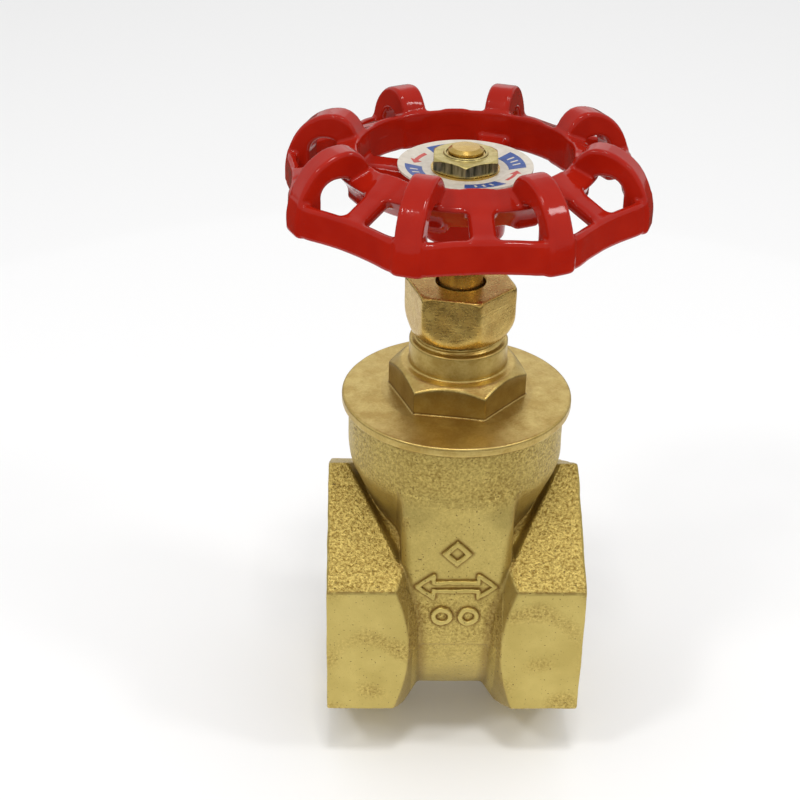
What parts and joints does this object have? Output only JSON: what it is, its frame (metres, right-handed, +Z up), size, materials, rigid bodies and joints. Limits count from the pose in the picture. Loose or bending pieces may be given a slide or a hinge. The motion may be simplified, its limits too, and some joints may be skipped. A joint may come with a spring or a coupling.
{
  "type": "gate valve",
  "caption": "Brass wedge gate valve with female pipe threads at both ends, a non-rising stem and a cast handwheel that lifts the gate.",
  "frame": {"origin": "on the stem axis, level with the lowest corners of the two spanner hexagons; the flow axis is 31.754 mm above it", "axes": "+X along the flow axis from inlet to outlet, +Z up the stem axis towards the handwheel; the valve works the same either way round"},
  "size_m": [0.0746, 0.0746, 0.1425],
  "materials": {
    "cast_brass": "blasted casting, matt with a fine grit",
    "turned_brass": "turned and tumbled, satin",
    "machined_brass": "bright machined",
    "red_enamel": "thick glossy enamel on a casting",
    "printed_plate": "printed sheet",
    "ptfe": "waxy",
    "fibre_gasket": "compressed fibre"
  },
  "bodies": {
    "valve_body": {"body": "cast_brass", "bonnet": "turned_brass", "bonnet_gasket": "fibre_gasket", "stem_retaining_nut": "machined_brass", "thrust_washer": "ptfe", "packing_washer": "machined_brass", "packing_ring_1": "ptfe", "packing_ring_2": "ptfe", "packing_ring_3": "ptfe", "gland_follower": "machined_brass", "gland_nut": "machined_brass"},
    "spindle": {"stem": "machined_brass", "handwheel": "red_enamel", "nameplate": "printed_plate", "wheel_washer": "machined_brass", "wheel_nut": "machined_brass"},
    "gate": {"wedge_gate": "machined_brass"}
  },
  "joints": [
    {"name": "handwheel_spin", "type": "hinge", "parent": "valve_body", "child": "spindle", "pos_m": [0, 0, 0.12675], "axis": [0, 0, 1], "range_deg": [0, 2902.5]},
    {"name": "gate_lift", "type": "slide", "parent": "valve_body", "child": "gate", "axis": [0, 0, 1], "range_m": [0, 0.03225]}
  ],
  "couplings": [
    {"joint": "gate_lift", "follows": "handwheel_spin", "m_per_rad": 0.0006366}
  ]
}
